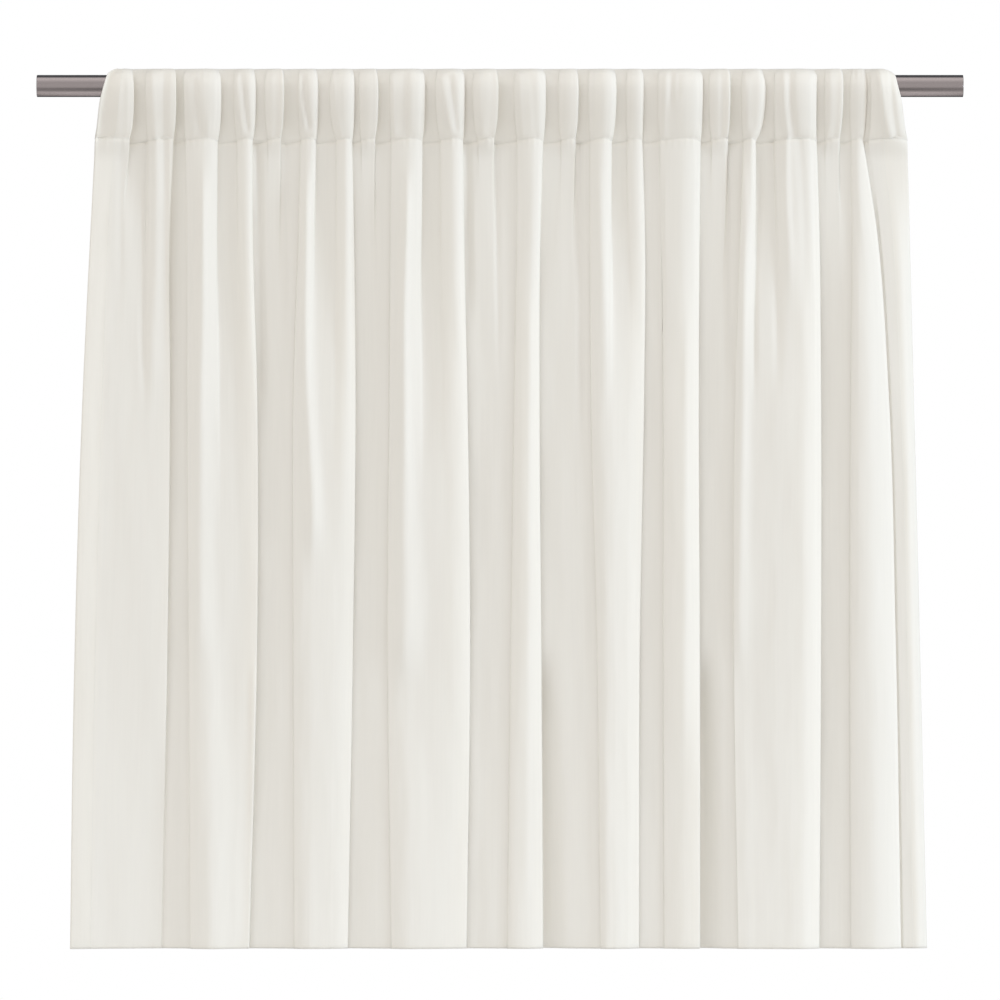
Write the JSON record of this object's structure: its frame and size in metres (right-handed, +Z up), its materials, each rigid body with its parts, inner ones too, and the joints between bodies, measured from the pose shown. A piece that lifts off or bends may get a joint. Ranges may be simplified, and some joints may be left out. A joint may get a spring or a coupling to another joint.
{
  "type": "voile curtain on a rod",
  "caption": "Voile curtain panel gathered by its rod pocket on a plain round rod, with puffed heading folds that run down into broad soft folds.",
  "frame": {"origin": "middle of the rod's axis, where its brackets hold the rod", "axes": "+X along the rod to its right end as seen from the room, +Y away from the room, +Z up"},
  "size_m": [1.052, 0.0556, 1.0002],
  "materials": {
    "voile": "matte",
    "rod_metal": "satin"
  },
  "bodies": {
    "root": {"curtain_panel": "voile", "rod": "rod_metal"}
  },
  "joints": []
}
